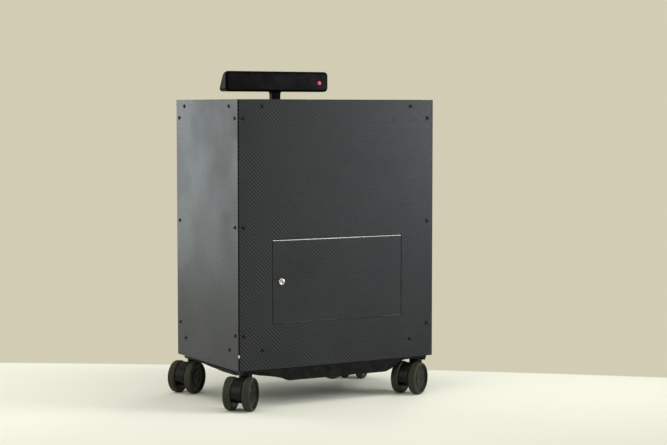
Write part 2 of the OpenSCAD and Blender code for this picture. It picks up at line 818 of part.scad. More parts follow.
module sensor_lamp() {
    color([0.7, 0.1, 0.1]) translate([lamp_x, bar_y - 0.4, lamp_z]) rotate([-90, 0, 0])
        cylinder(r = lamp_r, h = window_t + 0.4 + 3);
}

// ---- casters ----

// Swivel frame of caster i: pivot at the origin, wheels trailing along +X.
module at_caster(i) {
    translate([CASTERS[i][0] * caster_x, CASTERS[i][1] * caster_y, ride_h])
        rotate([0, 0, CASTERS[i][2]]) children();
}

module at_axle(i) {
    at_caster(i) translate([caster_trail, 0, -axle_drop]) rotate([90, 0, 0]) children();
}

module caster_stems() {
    color("gainsboro") for (i = [0:3]) at_caster(i) {
        translate([0, 0, stem_low + 1]) cylinder(r = stem_r, h = base_t - stem_low - 1);
        translate([0, 0, -pan_rim_t - collar_t]) cylinder(r = collar_r, h = collar_t);
    }
}

// Hood between the two wheels, with the neck above it.
module caster_body(i) {
    color([0.1, 0.1, 0.1]) at_caster(i) difference() {
        union() {
            translate([0, 0, neck_low]) cylinder(r = neck_r, h = neck_top - neck_low);
            rotate([90, 0, 0]) translate([0, 0, -core_t / 2]) linear_extrude(height = core_t) {
                difference() {
                    translate([caster_trail, -axle_drop]) circle(r = fender_r, $fn = 96);
                    translate([-caster_trail, fender_floor - 2 * tyre_r])
                        square([4 * caster_trail, 2 * tyre_r]);
                }
                polygon([[-neck_r + 1, neck_low + 1], [neck_r, neck_low + 1],
                    [caster_trail, -axle_drop + 16], [caster_trail / 4, stem_low - 10],
                    [-neck_r + 1, stem_low + 4]]);
            }
        }
        translate([0, 0, stem_low]) cylinder(r = stem_r + run, h = neck_top - stem_low + cut);
        translate([caster_trail, core_t, -axle_drop]) rotate([90, 0, 0])
            cylinder(r = axle_r + run, h = 2 * core_t);
    }
}

module caster_axle(i) {
    half = wheel_in + caster_tyre_w - 5.5;
    color("gainsboro") at_axle(i) translate([0, 0, -half]) cylinder(r = axle_r, h = 2 * half);
}

// Both wheel discs of caster i, with stepped rings on their outer faces.
module caster_hubs(i) {
    w = caster_tyre_w - 1.6;
    blind = caster_tyre_w - 5.2;
    color([0.15, 0.15, 0.15]) at_axle(i) for (s = [0, 1]) mirror([0, 0, s]) translate([0, 0, wheel_in])
        rotate_extrude($fn = 96) polygon([[axle_r + touch, 0], [rim_r, 0], [rim_r, w],
            [rim_r - 2.5, w], [rim_r - 3.3, w - 1.2], [rim_r - 8, w - 1.2], [rim_r - 8.8, w - 0.3],
            [rim_r - 13, w - 0.3], [rim_r - 13.8, w - 1], [0, w - 1], [0, blind],
            [axle_r + touch, blind]]);
}

module caster_tyres(i) {
    r = tyre_round;
    w = caster_tyre_w;
    color([0.25, 0.25, 0.22]) at_axle(i) for (s = [0, 1]) mirror([0, 0, s])
        translate([0, 0, wheel_in - 0.3])
            rotate_extrude($fn = 96) polygon(concat([[rim_r + touch, 0]],
                arc(tyre_r - r, r, r, -90, 0, 6), arc(tyre_r - r, w - r, r, 0, 90, 6),
                [[rim_r + touch, w]]));
}

base_plate();
corner_posts();
frame_rails();
front_panel();
rear_panel();
left_panel();
right_panel();
top_panel();
panel_screws();
top_screws();
belly_pan();
door_leaf();
hinge_frame_arms();
hinge_door_leaves();
hinge_pins();
lock_barrel();
lock_cam();
equipment_shelf();
battery_pack();
computer_box();
control_board();
caster_stems();
guide_rods();
lift_bridge();
lift_motor();
lead_screw();
lift_carriage();
carriage_bushes();
carriage_nut();
drive_axles();
drive_hub_left();
drive_hub_right();
drive_tyre_left();
drive_tyre_right();
guard_roller();
guard_roller_pin();
sensor_foot();
sensor_neck();
sensor_tilt_pin();
sensor_housing();
sensor_window();
sensor_lenses();
sensor_lamp();
caster_body(0);  // caster_front_left_body
caster_axle(0);  // caster_front_left_axle
caster_hubs(0);  // caster_front_left_hubs
caster_tyres(0);  // caster_front_left_tyres
caster_body(1);  // caster_front_right_body
caster_axle(1);  // caster_front_right_axle
caster_hubs(1);  // caster_front_right_hubs
caster_tyres(1);  // caster_front_right_tyres
caster_body(2);  // caster_rear_left_body
caster_axle(2);  // caster_rear_left_axle
caster_hubs(2);  // caster_rear_left_hubs
caster_tyres(2);  // caster_rear_left_tyres
caster_body(3);  // caster_rear_right_body
caster_axle(3);  // caster_rear_right_axle
caster_hubs(3);  // caster_rear_right_hubs
caster_tyres(3);  // caster_rear_right_tyres
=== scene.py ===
"""Looks of the self balancing robot: its panels, casters, sensor bar, lock and the stage."""

import json
import math

import bmesh
import bpy
from bpy.props import FloatProperty, FloatVectorProperty, PointerProperty
from mathutils import Matrix, Vector

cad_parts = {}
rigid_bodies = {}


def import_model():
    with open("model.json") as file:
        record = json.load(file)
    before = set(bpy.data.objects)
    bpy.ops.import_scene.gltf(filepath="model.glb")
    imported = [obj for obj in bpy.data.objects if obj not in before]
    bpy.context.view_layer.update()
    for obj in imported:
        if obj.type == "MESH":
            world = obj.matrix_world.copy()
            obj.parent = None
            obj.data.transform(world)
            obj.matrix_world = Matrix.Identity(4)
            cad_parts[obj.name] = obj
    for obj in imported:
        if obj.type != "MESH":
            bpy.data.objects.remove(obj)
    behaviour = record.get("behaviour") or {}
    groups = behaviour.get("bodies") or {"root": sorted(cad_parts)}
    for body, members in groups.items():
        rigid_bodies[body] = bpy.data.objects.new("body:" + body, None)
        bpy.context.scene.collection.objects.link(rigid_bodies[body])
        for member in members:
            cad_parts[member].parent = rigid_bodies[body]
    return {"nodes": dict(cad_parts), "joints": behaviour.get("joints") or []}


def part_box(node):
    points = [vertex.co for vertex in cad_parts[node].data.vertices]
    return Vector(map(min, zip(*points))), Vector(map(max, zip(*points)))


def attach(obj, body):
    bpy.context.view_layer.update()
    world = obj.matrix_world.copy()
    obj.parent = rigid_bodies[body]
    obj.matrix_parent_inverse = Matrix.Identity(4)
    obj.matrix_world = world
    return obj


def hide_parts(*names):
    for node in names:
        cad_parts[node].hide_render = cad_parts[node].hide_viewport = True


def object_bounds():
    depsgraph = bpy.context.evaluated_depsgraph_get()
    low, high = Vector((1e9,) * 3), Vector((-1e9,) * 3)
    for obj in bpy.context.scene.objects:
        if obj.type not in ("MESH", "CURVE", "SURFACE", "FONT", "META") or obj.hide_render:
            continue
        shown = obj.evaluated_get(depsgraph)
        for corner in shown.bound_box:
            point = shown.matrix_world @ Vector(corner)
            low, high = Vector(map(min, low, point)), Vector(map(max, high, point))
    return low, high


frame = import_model()
CAD_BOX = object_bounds()
NODES = frame["nodes"]
JOINTS = {joint["name"]: joint for joint in frame["joints"]}

bl_info = {
    "name": "Self Balancing Robot Looks",
    "version": (1, 0, 0),
    "blender": (4, 5, 0),
    "location": "3D View > Sidebar > Robot",
    "description": "Models and finishes the visible pieces of a boxed robot on four casters",
    "category": "Object",
}

MM = 0.001
CORNERS = ("front_left", "front_right", "rear_left", "rear_right")

# Turns that lay the film's weave on the front, side and top faces.
FRONT_TURN = (math.radians(-90), 0, 0)
SIDE_TURN = (math.radians(-90), math.radians(90), 0)
TOP_TURN = (0, 0, 0)

# Caster: axle behind the swivel, axle above the floor, wheel's foot beside the axle's middle.
TRAIL, AXLE_RISE, WHEEL_FOOT = 22 * MM, 25 * MM, 8.8 * MM
# A panel screw's head above the panel.
HEAD_RISE = 1.6 * MM

DUST = (0.30, 0.28, 0.23, 1)
# Colour of a painted glint: a bright metal-coloured spot painted on the left panel's edge.
PAINTED_GLINT = (0.62, 0.61, 0.57, 1)
RUBBED_FILM = (0.12, 0.12, 0.115, 1)
SCRATCHED_FILM = (0.12, 0.12, 0.118, 1)

# Camera: point looked at, level distance from it, rise above it.
CAMERA_TARGET, CAMERA_DISTANCE, CAMERA_RISE = (0.0526, 0.0, 0.2644), 2.6215, 0.1778
# Round table: centre, and the radii between which it ends.
TABLE_CENTRE, TABLE_END = (-3.56, -4.54, 0.0), (6.0, 6.012)
LAMP_AIM = (0, 0, 0.25)


def colour_property(name, description, default):
    return FloatVectorProperty(name=name, description=description, default=default, size=3,
                               min=0, max=1, subtype="COLOR")


def length_property(name, description, millimetres):
    return FloatProperty(name=name, description=description, default=millimetres * MM, min=0,
                         subtype="DISTANCE", unit="LENGTH", precision=5)


def power_property(name, description, default):
    return FloatProperty(name=name, description=description, default=default, min=0,
                         subtype="POWER", unit="POWER")


class RobotFinish(bpy.types.PropertyGroup):
    """Colours of the robot's finishes."""

    film_light: colour_property("Film, light tow", "Tows across the film", (0.033, 0.0365, 0.0395))
    film_dark: colour_property("Film, dark tow", "Tows along the film", (0.0012, 0.0015, 0.0018))
    core: colour_property("Panel core", "Cut edge of the panels", (0.016, 0.016, 0.016))
    dark_core: colour_property("Left panel core", "Its blackened edge", (0.003, 0.003, 0.003))
    bare_edge: colour_property("Bare door edge", "Door's upper edge", (0.80, 0.79, 0.76))
    pan: colour_property("Belly pan", "Formed plastic", (0.0105, 0.0105, 0.0096))
    hood: colour_property("Caster hood", "Moulded hood and neck", (0.0035, 0.0035, 0.003))
    hub: colour_property("Caster hub", "Moulded wheel discs", (0.003, 0.0031, 0.0029))
    tyre: colour_property("Caster tyre", "Wheels' rubber", (0.0185, 0.019, 0.0105))
    housing: colour_property("Sensor housing", "Case of the bar", (0.003, 0.0033, 0.0031))
    lamp: colour_property("Lamp", "Signal lamp's cap", (0.52, 0.012, 0.04))
    lock: colour_property("Lock", "Plated face of the lock", (0.62, 0.61, 0.57))
    aluminium: colour_property("Frame", "Anodised metal", (0.52, 0.53, 0.54))
    sleeve: colour_property("Battery sleeve", "Shrink sleeve", (0.035, 0.085, 0.30))
    board: colour_property("Board", "Solder mask", (0.012, 0.10, 0.045))


class RobotSizes(bpy.types.PropertyGroup):
    """Sizes of visible detail that the frame leaves to the looks."""

    tow: length_property("Tow width", "Width of one tow of the twill", 1.47)
    panel_edge: length_property("Panel edge", "Rounding of panel edges", 0.35)
    door_chamfer: length_property("Door chamfer", "Bare upper edge", 0.9)
    sill: length_property("Door sill", "Leaf's reach into the gap below", 0.6)
    pan_edge: length_property("Pan edge", "Rounding of pan edges", 0.9)
    pan_lip: length_property("Pan lip", "Height of the lip at the ends", 7.0)
    hood_front: length_property("Hood opening", "Its height above the floor", 20.5)
    bar_corner: length_property("Bar corner", "Corner radius of the bar", 7.0)
    bar_edge: length_property("Bar edge", "Rounding of the bar's edges", 3.2)


class RobotStage(bpy.types.PropertyGroup):
    """Camera, lamps and ground."""

    lens: FloatProperty(name="Lens", description="Focal length on a 36 mm sensor", default=89.5,
                        min=10, subtype="DISTANCE_CAMERA")
    azimuth: FloatProperty(name="Camera azimuth", description="Turn to the robot's left",
                           default=math.radians(29.96), subtype="ANGLE", unit="ROTATION")
    ground: colour_property("Table", "Table the robot stands on", (0.76, 0.735, 0.605))
    wall: colour_property("Backdrop", "Pale backdrop behind the table", (0.645, 0.606, 0.458))
    key: power_property("Key light", "Power of the large lamp at the left", 21)
    side: power_property("Side light", "Power of the lamp behind at the left", 21)
    fill: power_property("Fill light", "Power of the lamp at the front right", 2.3)
    back: power_property("Back light", "Power of the low lamp behind", 18)
    top: power_property("Top light", "Power of the lamp overhead", 20.5)


def finish():
    return bpy.context.scene.robot_finish


def sizes():
    return bpy.context.scene.robot_sizes


def pivot_of(joint):
    return Vector(JOINTS[joint]["pos_m"])


# ---- modelling helpers ----


def deselect():
    if bpy.context.object and bpy.context.object.mode != "OBJECT":
        bpy.ops.object.mode_set(mode="OBJECT")
    for obj in bpy.context.view_layer.objects:
        obj.select_set(False)


def pick(*objects):
    """Makes the last object active and selects only those given."""
    deselect()
    for obj in objects:
        obj.select_set(True)
    bpy.context.view_layer.objects.active = objects[-1]


def edit(obj):
    pick(obj)
    bpy.ops.object.mode_set(mode="EDIT")


def leave():
    bpy.ops.object.mode_set(mode="OBJECT")


def select_all():
    bpy.ops.mesh.select_all(action="SELECT")


def choose(obj, kind, test):
    """Selects the edit-mode faces, edges or vertices that pass the test."""
    bpy.ops.mesh.select_mode(type=kind)
    bpy.ops.mesh.select_all(action="DESELECT")
    bm = bmesh.from_edit_mesh(obj.data)
    items = {"FACE": bm.faces, "EDGE": bm.edges, "VERT": bm.verts}[kind]
    items.ensure_lookup_table()
    chosen = [item for item in items if test(item)]
    for item in chosen:
        item.select_set(True)
    bm.select_flush_mode()
    bmesh.update_edit_mesh(obj.data)
    if not chosen:
        raise RuntimeError(f"nothing to select on {obj.name}")


def middle(edge):
    return (edge.verts[0].co + edge.verts[1].co) / 2


def along(edge, axis):
    line = edge.verts[1].co - edge.verts[0].co
    return abs(line[axis]) > 0.99 * line.length


def settle(obj):
    """Puts the object's place into its mesh."""
    pick(obj)
    bpy.ops.object.transform_apply(location=True, rotation=True, scale=True)
    return obj


def move(obj, matrix):
    obj.matrix_world = matrix @ obj.matrix_world
    bpy.context.view_layer.update()
    return settle(obj)


def add_box(name, low, high):
    low, high = Vector(low), Vector(high)
    deselect()
    bpy.ops.mesh.primitive_cube_add(size=1, location=(low + high) / 2)
    obj = bpy.context.object
    obj.name = name
    obj.scale = high - low
    return settle(obj)


def add_disc(name, centre, radius, depth, axis="Z", sides=64):
    turn = {"X": (0, math.radians(90), 0), "Y": (math.radians(90), 0, 0), "Z": (0, 0, 0)}[axis]
    deselect()
    bpy.ops.mesh.primitive_cylinder_add(vertices=sides, radius=radius, depth=depth,
                                        location=centre, rotation=turn)
    obj = bpy.context.object
    obj.name = name
    return settle(obj)


def turned(name, profile, steps=64):
    """Spins a profile of (radius, height) points, in millimetres, about Z into a closed solid."""
    profile = [(radius * MM, height * MM) for radius, height in profile]
    deselect()
    bpy.ops.mesh.primitive_plane_add(size=MM)
    obj = bpy.context.object
    obj.name = name
    edit(obj)
    bpy.ops.mesh.select_mode(type="VERT")
    select_all()
    bpy.ops.mesh.merge(type="CENTER")
    here = profile[0]
    bpy.ops.transform.translate(value=(here[0], 0, here[1]))
    for there in profile[1:]:
        step = (there[0] - here[0], 0, there[1] - here[1])
        bpy.ops.mesh.extrude_region_move(TRANSFORM_OT_translate={"value": step})
        here = there
    select_all()
    bpy.ops.mesh.spin(steps=steps, angle=2 * math.pi, center=(0, 0, 0), axis=(0, 0, 1))
    select_all()
    bpy.ops.mesh.remove_doubles(threshold=2e-6)
    bpy.ops.mesh.normals_make_consistent(inside=False)
    leave()
    return obj


def bend(cx, cy, radius, start, stop, count):
    """Points of an arc in a turned profile, angles in degrees."""
    angles = [math.radians(start + (stop - start) * i / count) for i in range(count + 1)]
    return [(cx + radius * math.cos(a), cy + radius * math.sin(a)) for a in angles]


def apply(obj, kind, **settings):
    """Adds a modifier and applies it."""
    pick(obj)
    modifier = obj.modifiers.new(kind.title(), kind)
    for key, value in settings.items():
        setattr(modifier, key, value)
    bpy.ops.object.modifier_apply(modifier=modifier.name)
    return obj


def combine(obj, other, operation="DIFFERENCE"):
    """Cuts the other object away, or unites it, and removes it."""
    apply(obj, "BOOLEAN", operation=operation, object=other, solver="EXACT")
    bpy.data.objects.remove(other)
    return obj


def join(name, *objects):
    pick(*objects)
    bpy.ops.object.join()
    obj = bpy.context.object
    obj.name = name
    return obj


def copy_mesh(obj, name, matrix=None):
    """A copy with its own mesh, its place in the mesh."""
    twin = bpy.data.objects.new(name, obj.data.copy())
    bpy.context.scene.collection.objects.link(twin)
    return move(twin, matrix) if matrix else twin


def merged_copy(node, name):
    """Copy of a CAD node with its triangles merged into whole faces."""
    obj = copy_mesh(NODES[node], name)
    obj.data.materials.clear()
    edit(obj)
    select_all()
    bpy.ops.mesh.remove_doubles(threshold=3e-6)
    bpy.ops.mesh.customdata_custom_splitnormals_clear()
    bpy.ops.mesh.dissolve_limited(angle_limit=math.radians(0.3))
    leave()
    return obj


def soften(obj, width, segments=2, angle=32):
    """Rounds the sharp edges and shades the faces true."""
    pick(obj)
    bpy.ops.object.shade_smooth()
    apply(obj, "BEVEL", width=width, segments=segments, limit_method="ANGLE",
          angle_limit=math.radians(angle), use_clamp_overlap=True, miter_outer="MITER_SHARP")
    return shade(obj)


def shade(obj, angle=35):
    pick(obj)
    bpy.ops.object.shade_smooth_by_angle(angle=math.radians(angle))
    return apply(obj, "WEIGHTED_NORMAL", weight=80, keep_sharp=True)


def dress(obj, material, body, slot, *nodes):
    """Gives a finished piece its material and body, and hides the CAD nodes it replaces; slot is
    not used.
    """
    if material:
        obj.data.materials.clear()
        obj.data.materials.append(material)
    if nodes:
        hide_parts(*nodes)
    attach(obj, body)
    return obj


def refinish(material, *nodes):
    """Puts a material on CAD nodes that are shown as they are."""
    for node in nodes:
        for slot in NODES[node].material_slots:
            slot.material = material


# ---- material helpers ----


class Wiring:
    """Adds nodes to a node tree and links them."""

    def __init__(self, tree):
        self.tree = tree

    def feed(self, socket, value):
        if isinstance(value, bpy.types.NodeSocket):
            self.tree.links.new(value, socket)
        else:
            socket.default_value = value

    def node(self, kind, inputs=None, **settings):
        """A shader node, its kind given without the prefix."""
        node = self.tree.nodes.new("ShaderNode" + kind)
        for key, value in settings.items():
            setattr(node, key, value)
        for key, value in (inputs or {}).items():
            self.feed(node.inputs[key], value)
        return node

    def out(self, kind, inputs=None, **settings):
        return self.node(kind, inputs, **settings).outputs[0]

    def maths(self, operation, *values):
        node = self.node("Math", operation=operation)
        for socket, value in zip(node.inputs, values):
            self.feed(socket, value)
        return node.outputs[0]

    def times(self, *values):
        return self.maths("MULTIPLY", *values)

    def plus(self, *values):
        return self.maths("ADD", *values)

    def minus(self, *values):
        return self.maths("SUBTRACT", *values)

    def clamp(self, value):
        return self.out("Clamp", {0: value})

    def parts(self, vector):
        return self.node("SeparateXYZ", {0: vector}).outputs

    def vector(self, operation, *values):
        node = self.node("VectorMath", operation=operation)
        for socket, value in zip(node.inputs, values):
            self.feed(socket, value)
        return node.outputs[0]

    def blend(self, factor, first, second):
        node = self.node("Mix", data_type="RGBA")
        self.feed(node.inputs[0], factor)
        self.feed(node.inputs[6], first)
        self.feed(node.inputs[7], second)
        return node.outputs[2]

    def scale(self, value, low, high, from_low=0.0, from_high=1.0):
        return self.out("MapRange", {"Value": value, "From Min": from_low,
                                     "From Max": from_high, "To Min": low, "To Max": high})

    def noise(self, vector, scale, detail=2.0, roughness=0.5):
        return self.out("TexNoise", {"Vector": vector, "Scale": scale, "Detail": detail,
                                     "Roughness": roughness})

    def uneven(self, tone, colour, spread):
        """The colour, darker and lighter by the spread as the tone goes."""
        return self.blend(self.scale(tone, 0.0, 1.0, 0.35, 0.65),
                          rgba(colour, 1 - spread), rgba(colour, 1 + spread))

    def seen(self):
        """One for a ray that shows the backdrop itself, nought for one that gathers its light."""
        path = self.node("LightPath").outputs
        return self.maths("MAXIMUM", self.maths("MAXIMUM", path["Is Camera Ray"],
                                                path["Is Glossy Ray"]), path["Is Transmission Ray"])


def emptied(owner):
    """Wiring of a material's or a world's node tree, with nothing in it."""
    owner.use_nodes = True
    owner.node_tree.nodes.clear()
    return Wiring(owner.node_tree)


def rgba(colour, gain=1.0):
    return (colour[0] * gain, colour[1] * gain, colour[2] * gain, 1.0)


def shader_group(name, **inputs):
    """Makes a builder into one node group; an input is a vector unless it has a number."""

    def wrap(build):
        def group():
            if name in bpy.data.node_groups:
                return bpy.data.node_groups[name]
            tree = bpy.data.node_groups.new(name, "ShaderNodeTree")
            for label, default in inputs.items():
                kind = "NodeSocketFloat" if isinstance(default, float) else "NodeSocketVector"
                socket = tree.interface.new_socket(label.replace("_", " "), in_out="INPUT",
                                                   socket_type=kind)
                if default is not None:
                    socket.default_value = default
            w = Wiring(tree)
            results = build(w, tree.nodes.new("NodeGroupInput").outputs)
            for label in results:
                tree.interface.new_socket(label, in_out="OUTPUT", socket_type="NodeSocketFloat")
            sink = tree.nodes.new("NodeGroupOutput").inputs
            for label, value in results.items():
                w.feed(sink[label], value)
            return tree

        return group

    return wrap


@shader_group("Twill Weave", Vector=None, Tow_Width=1.5 * MM)
def twill_weave(w, given):
    """Two-over, two-under twill in the X and Y of its vector."""
    parts = w.parts(given["Vector"])
    u = w.maths("DIVIDE", parts[0], given["Tow Width"])
    v = w.maths("DIVIDE", parts[1], given["Tow Width"])
    i, j = w.maths("FLOOR", u), w.maths("FLOOR", v)
    turn = w.maths("FLOORED_MODULO", w.plus(i, j), 4.0)
    warp = w.maths("LESS_THAN", turn, 1.5)
    domes = []
    for place in (u, v):
        across = w.minus(w.times(w.maths("FRACT", place), 2.0), 1.0)
        domes.append(w.minus(1.0, w.times(across, across)))
    picked = w.out("Mix", {0: warp, 2: domes[1], 3: domes[0]})
    cell = w.out("CombineXYZ", {0: w.times(i, warp), 1: w.times(j, w.minus(1.0, warp)),
                                2: warp})
    tone = w.out("TexWhiteNoise", {"Vector": cell})
    return {"Warp": warp, "Height": picked, "Tone": tone}


@shader_group("Edge Rub", Vector=None, Centre=None, Half_Size=None, Width=0.6 * MM)
def edge_rub(w, given):
    """Broken line of wear along the edges of a box."""
    offset = w.vector("ABSOLUTE", w.vector("SUBTRACT", given["Vector"], given["Centre"]))
    inside = w.parts(w.vector("SUBTRACT", given["Half Size"], offset))
    pairs = [w.maths("MAXIMUM", inside[a], inside[b]) for a, b in ((0, 1), (1, 2), (0, 2))]
    nearest = w.maths("MINIMUM", w.maths("MINIMUM", pairs[0], pairs[1]), pairs[2])
    ragged = w.noise(given["Vector"], 420.0, 3.0, 0.6)
    reach = w.times(given["Width"], w.scale(ragged, 0.15, 1.9, 0.3, 0.75))
    edge = w.minus(1.0, w.maths("DIVIDE", nearest, reach))
    patchy = w.scale(w.noise(given["Vector"], 34.0, 2.0), 0.0, 1.0, 0.4, 0.62)
    return {"Mask": w.clamp(w.times(edge, patchy))}


@shader_group("Handling Marks", Vector=None, Scale=9.0)
def handling_marks(w, given):
    """Soft smudges and a few thin straight scratches."""
    place = given["Vector"]
    smudge = w.scale(w.noise(place, given["Scale"], 4.0, 0.55), 0.0, 1.0, 0.42, 0.72)
    drift = w.node("TexNoise", {"Vector": place, "Scale": 6.0}).outputs[1]
    stretched = w.out("Mapping", {"Vector": w.vector("ADD", place, drift),
                                  "Rotation": (0.5, 0.9, 0.35), "Scale": (3.0, 3.0, 160.0)})
    line = w.noise(stretched, 3.0, 0.0)
    thin = w.scale(w.maths("ABSOLUTE", w.minus(line, 0.5)), 1.0, 0.0, 0.0, 0.006)
    spared = w.scale(w.noise(place, 11.0, 1.0), 0.0, 1.0, 0.62, 0.68)
    return {"Smudge": smudge, "Scratch": w.clamp(w.times(thin, spared))}


@shader_group("Moulded Grain", Vector=None, Scale=1800.0)
def moulded_grain(w, given):
    """Fine pebbled skin of moulded plastic or rubber."""
    fine = w.noise(given["Vector"], given["Scale"])
    coarse = w.noise(given["Vector"], w.times(given["Scale"], 0.12))
    return {"Height": fine, "Tone": coarse}


@shader_group("Brushed Lines", Vector=None, Stretch=(40.0, 40.0, 1.0))
def brushed_lines(w, given):
    """Fine parallel lines along one direction."""
    stretched = w.vector("MULTIPLY", given["Vector"], given["Stretch"])
    fine = w.noise(stretched, 60.0, 3.0, 0.6)
    broad = w.noise(stretched, 9.0)
    return {"Height": fine, "Tone": broad}


@shader_group("Settled Dust", Vector=None, Low=0.0, High=0.05)
def settled_dust(w, given):
    """Thin dust that gathers low down and in patches."""
    low = w.scale(w.parts(given["Vector"])[2], 1.0, 0.0, given["Low"], given["High"])
    patch = w.scale(w.noise(given["Vector"], 70.0, 4.0, 0.65), 0.0, 1.0, 0.35, 0.7)
    return {"Mask": w.times(low, patch)}


class Finish:
    """A new material: its wiring, Object coordinates and Principled shader."""

    def __init__(self, name, **constants):
        self.material = bpy.data.materials.new(name)
        self.w = emptied(self.material)
        self.shader = self.w.node("BsdfPrincipled")
        self.w.node("OutputMaterial", {0: self.shader.outputs[0]})
        self.coords = self.w.node("TexCoord").outputs["Object"]
        for label, value in constants.items():
            self.shader.inputs[label.replace("_", " ")].default_value = value

    def use(self, tree, **inputs):
        """Outputs of a node group laid on the piece's Object coordinates."""
        node = self.w.node("Group")
        node.node_tree = tree
        for label, value in {"Vector": self.coords, **inputs}.items():
            self.w.feed(node.inputs[label.replace("_", " ")], value)
        return node.outputs

    def set(self, label, value):
        self.w.feed(self.shader.inputs[label], value)

    def bump(self, height, distance, strength=1.0):
        self.set("Normal", self.w.out("Bump", {"Height": height, "Distance": distance,
                                               "Strength": strength}))

    def marks(self, scale):
        return self.use(handling_marks(), Scale=scale)

    def rub(self, node, width):
        """Mask of the wear along the edges of a CAD node's box."""
        low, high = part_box(node)
        return self.use(edge_rub(), Centre=(low + high) / 2, Half_Size=(high - low) / 2,
                        Width=width)["Mask"]


def film(name, turn, node, dull=0.0):
    """Satin film printed with a twill of grey tows, rubbed dull where dull is above nought."""
    colours, f = finish(), Finish(name, IOR=1.47, Specular_IOR_Level=0.27)
    w = f.w
    light, dark = colours.film_light, colours.film_dark
    laid = w.out("Mapping", {"Vector": f.coords, "Rotation": turn})
    weave = f.use(twill_weave(), Vector=laid, Tow_Width=sizes().tow)
    rub, marks = f.rub(node, 0.7 * MM), f.marks(9.0)
    base = w.blend(weave["Warp"], rgba(dark), rgba(light))
    base = w.blend(w.scale(weave["Tone"], 0.0, 0.14), base, rgba(light, 1.15))
    cloudy = w.noise(f.coords, 2.6, 2.0)
    base = w.blend(w.scale(cloudy, 0.0, 0.16, 0.35, 0.7), base, rgba(dark, 0.8))
    base = w.blend(w.times(marks["Smudge"], 0.45), base, rgba(dark, 0.9))
    base = w.blend(w.times(marks["Scratch"], 0.35), base, SCRATCHED_FILM)
    f.set("Base Color", w.blend(w.times(rub, 0.35), base, RUBBED_FILM))
    rough = w.plus(w.scale(weave["Warp"], 0.5 + dull, 0.32 + dull),
                   w.scale(marks["Smudge"], -0.05, 0.07))
    f.set("Roughness", w.plus(rough, w.times(rub, 0.15)))
    f.bump(w.plus(weave["Height"], w.times(w.noise(f.coords, 900.0), 0.5)), 0.02 * MM, 0.6)
    return f.material


def plain_plastic(name, colour, roughness, grain, relief, node=None, dust_top=0.05,
                  dust_share=0.0, spread=0.25, rub_tone=2.2, specular=0.25, glint_spot=None):
    """Moulded plastic or rubber: grain, uneven tone, wear on a box's edges, a little dust, and a
    painted glint at a given spot.
    """
    if name in bpy.data.materials:
        return bpy.data.materials[name]
    f = Finish(name, Specular_IOR_Level=specular)
    w, skin = f.w, f.use(moulded_grain(), Scale=grain)
    marks = f.marks(38.0)
    base = w.uneven(skin["Tone"], colour, spread)
    base = w.blend(w.times(marks["Smudge"], 0.12), base, rgba(colour, 2.0))
    base = w.blend(w.times(marks["Scratch"], 0.4), base, rgba(colour, 3.0))
    if node:
        base = w.blend(w.times(f.rub(node, 0.8 * MM), 0.6), base, rgba(colour, rub_tone))
    if dust_share:
        mask = f.use(settled_dust(), High=dust_top)["Mask"]
        base = w.blend(w.times(mask, dust_share), base, DUST)
    # A small bright spot of metal colour painted at the given place: a painted glint, not real
    # wear.
    if glint_spot:
        offset = w.vector("DIVIDE", w.vector("SUBTRACT", f.coords, glint_spot),
                          (1.3 * MM, 3.0 * MM, 2.4 * MM))
        reach = w.node("VectorMath", {0: offset}, operation="LENGTH").outputs["Value"]
        ragged = w.plus(reach, w.scale(w.noise(f.coords, 800.0), -0.3, 0.3))
        base = w.blend(w.scale(ragged, 1.0, 0.0, 0.8, 1.1), base, PAINTED_GLINT)
    f.set("Base Color", base)
    f.set("Roughness", w.plus(w.scale(marks["Smudge"], roughness - 0.05, roughness + 0.1),
                              w.scale(skin["Tone"], -0.05, 0.05, 0.3, 0.7)))
    f.bump(skin["Height"], relief)
    return f.material


def worked_metal(name, colour, roughness, stretch, spread=0.12, metallic=1.0):
    """Brushed, turned or plated metal."""
    if name in bpy.data.materials:
        return bpy.data.materials[name]
    f = Finish(name, Metallic=metallic)
    w = f.w
    lines = f.use(brushed_lines(), Stretch=stretch)
    marks = f.marks(45.0)
    base = w.uneven(lines["Tone"], colour, spread)
    f.set("Base Color", w.blend(w.times(marks["Smudge"], 0.25), base, rgba(colour, 0.72)))
    f.set("Roughness", w.plus(w.scale(lines["Height"], roughness - 0.06, roughness + 0.06),
                              w.times(marks["Smudge"], 0.1)))
    f.bump(lines["Height"], 0.004 * MM)
    return f.material


def window_gloss():
    """Smoked gloss cover, with a faint ring over each lens behind it."""
    f = Finish("smoked_window", IOR=1.5, Specular_IOR_Level=0.09)
    w = f.w
    smoke, ring_tone = (0.003, 0.0035, 0.0034, 1), (0.008, 0.008, 0.010, 1)
    low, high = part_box("sensor_lenses")
    height, radius = (low.z + high.z) / 2, (high.z - low.z) / 2
    parts = w.parts(f.coords)
    rings = None
    for place in (low.x + radius, (low.x + high.x) / 2, high.x - radius):
        across, up = w.minus(parts[0], place), w.minus(parts[2], height)
        away = w.maths("SQRT", w.plus(w.times(across, across), w.times(up, up)))
        ring = w.scale(w.maths("ABSOLUTE", w.minus(away, radius)), 1.0, 0.0, 0.0, 0.5 * MM)
        rings = ring if rings is None else w.maths("MAXIMUM", rings, ring)
    marks = f.marks(30.0)
    base = w.blend(w.times(rings, 0.6), smoke, ring_tone)
    base = w.blend(w.times(marks["Scratch"], 0.25), base, (0.05, 0.05, 0.05, 1))
    f.set("Base Color", base)
    f.set("Roughness", w.scale(marks["Smudge"], 0.16, 0.30))
    f.bump(w.noise(f.coords, 60.0, 1.0), 0.01 * MM, 0.5)
    return f.material


